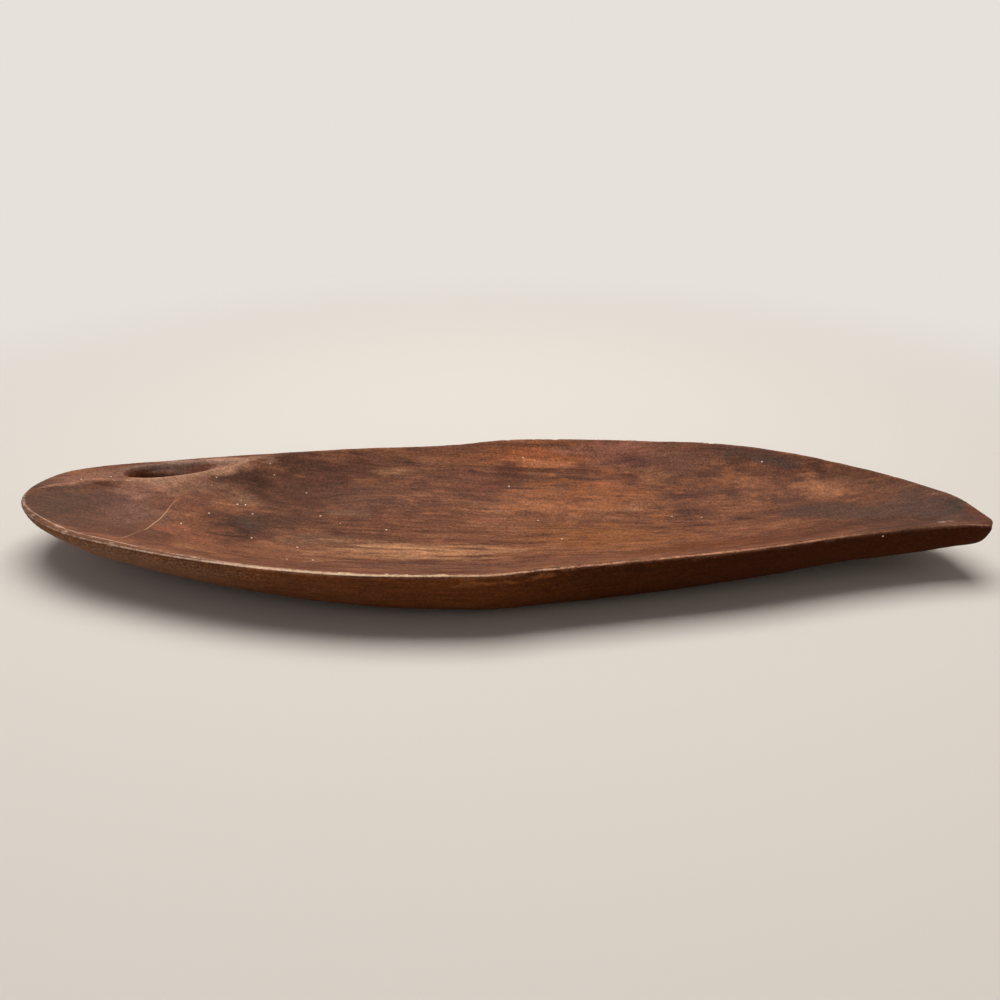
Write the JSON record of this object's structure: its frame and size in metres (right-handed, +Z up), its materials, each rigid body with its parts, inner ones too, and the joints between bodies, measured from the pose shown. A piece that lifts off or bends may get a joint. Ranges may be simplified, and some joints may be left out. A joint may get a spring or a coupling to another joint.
{
  "type": "leaf-shaped wooden tray",
  "caption": "Leaf-shaped tray carved from one board: a shallow dish with a thin lip, a rounded end with a finger slot, a pointed tip, and a curved underside with a flat base.",
  "frame": {"origin": "middle of the base: the centre of the tray's bounding box in X and Y, on the surface it stands on", "axes": "+X along the tray to its pointed tip, +Z up out of the dish, +Y to the side that has the finger slot"},
  "size_m": [0.6992, 0.2012, 0.05],
  "materials": {
    "wood": "old oiled hardwood, satin, worn pale along the lip and stained dark in places"
  },
  "bodies": {
    "root": {"tray": "wood"}
  },
  "joints": []
}
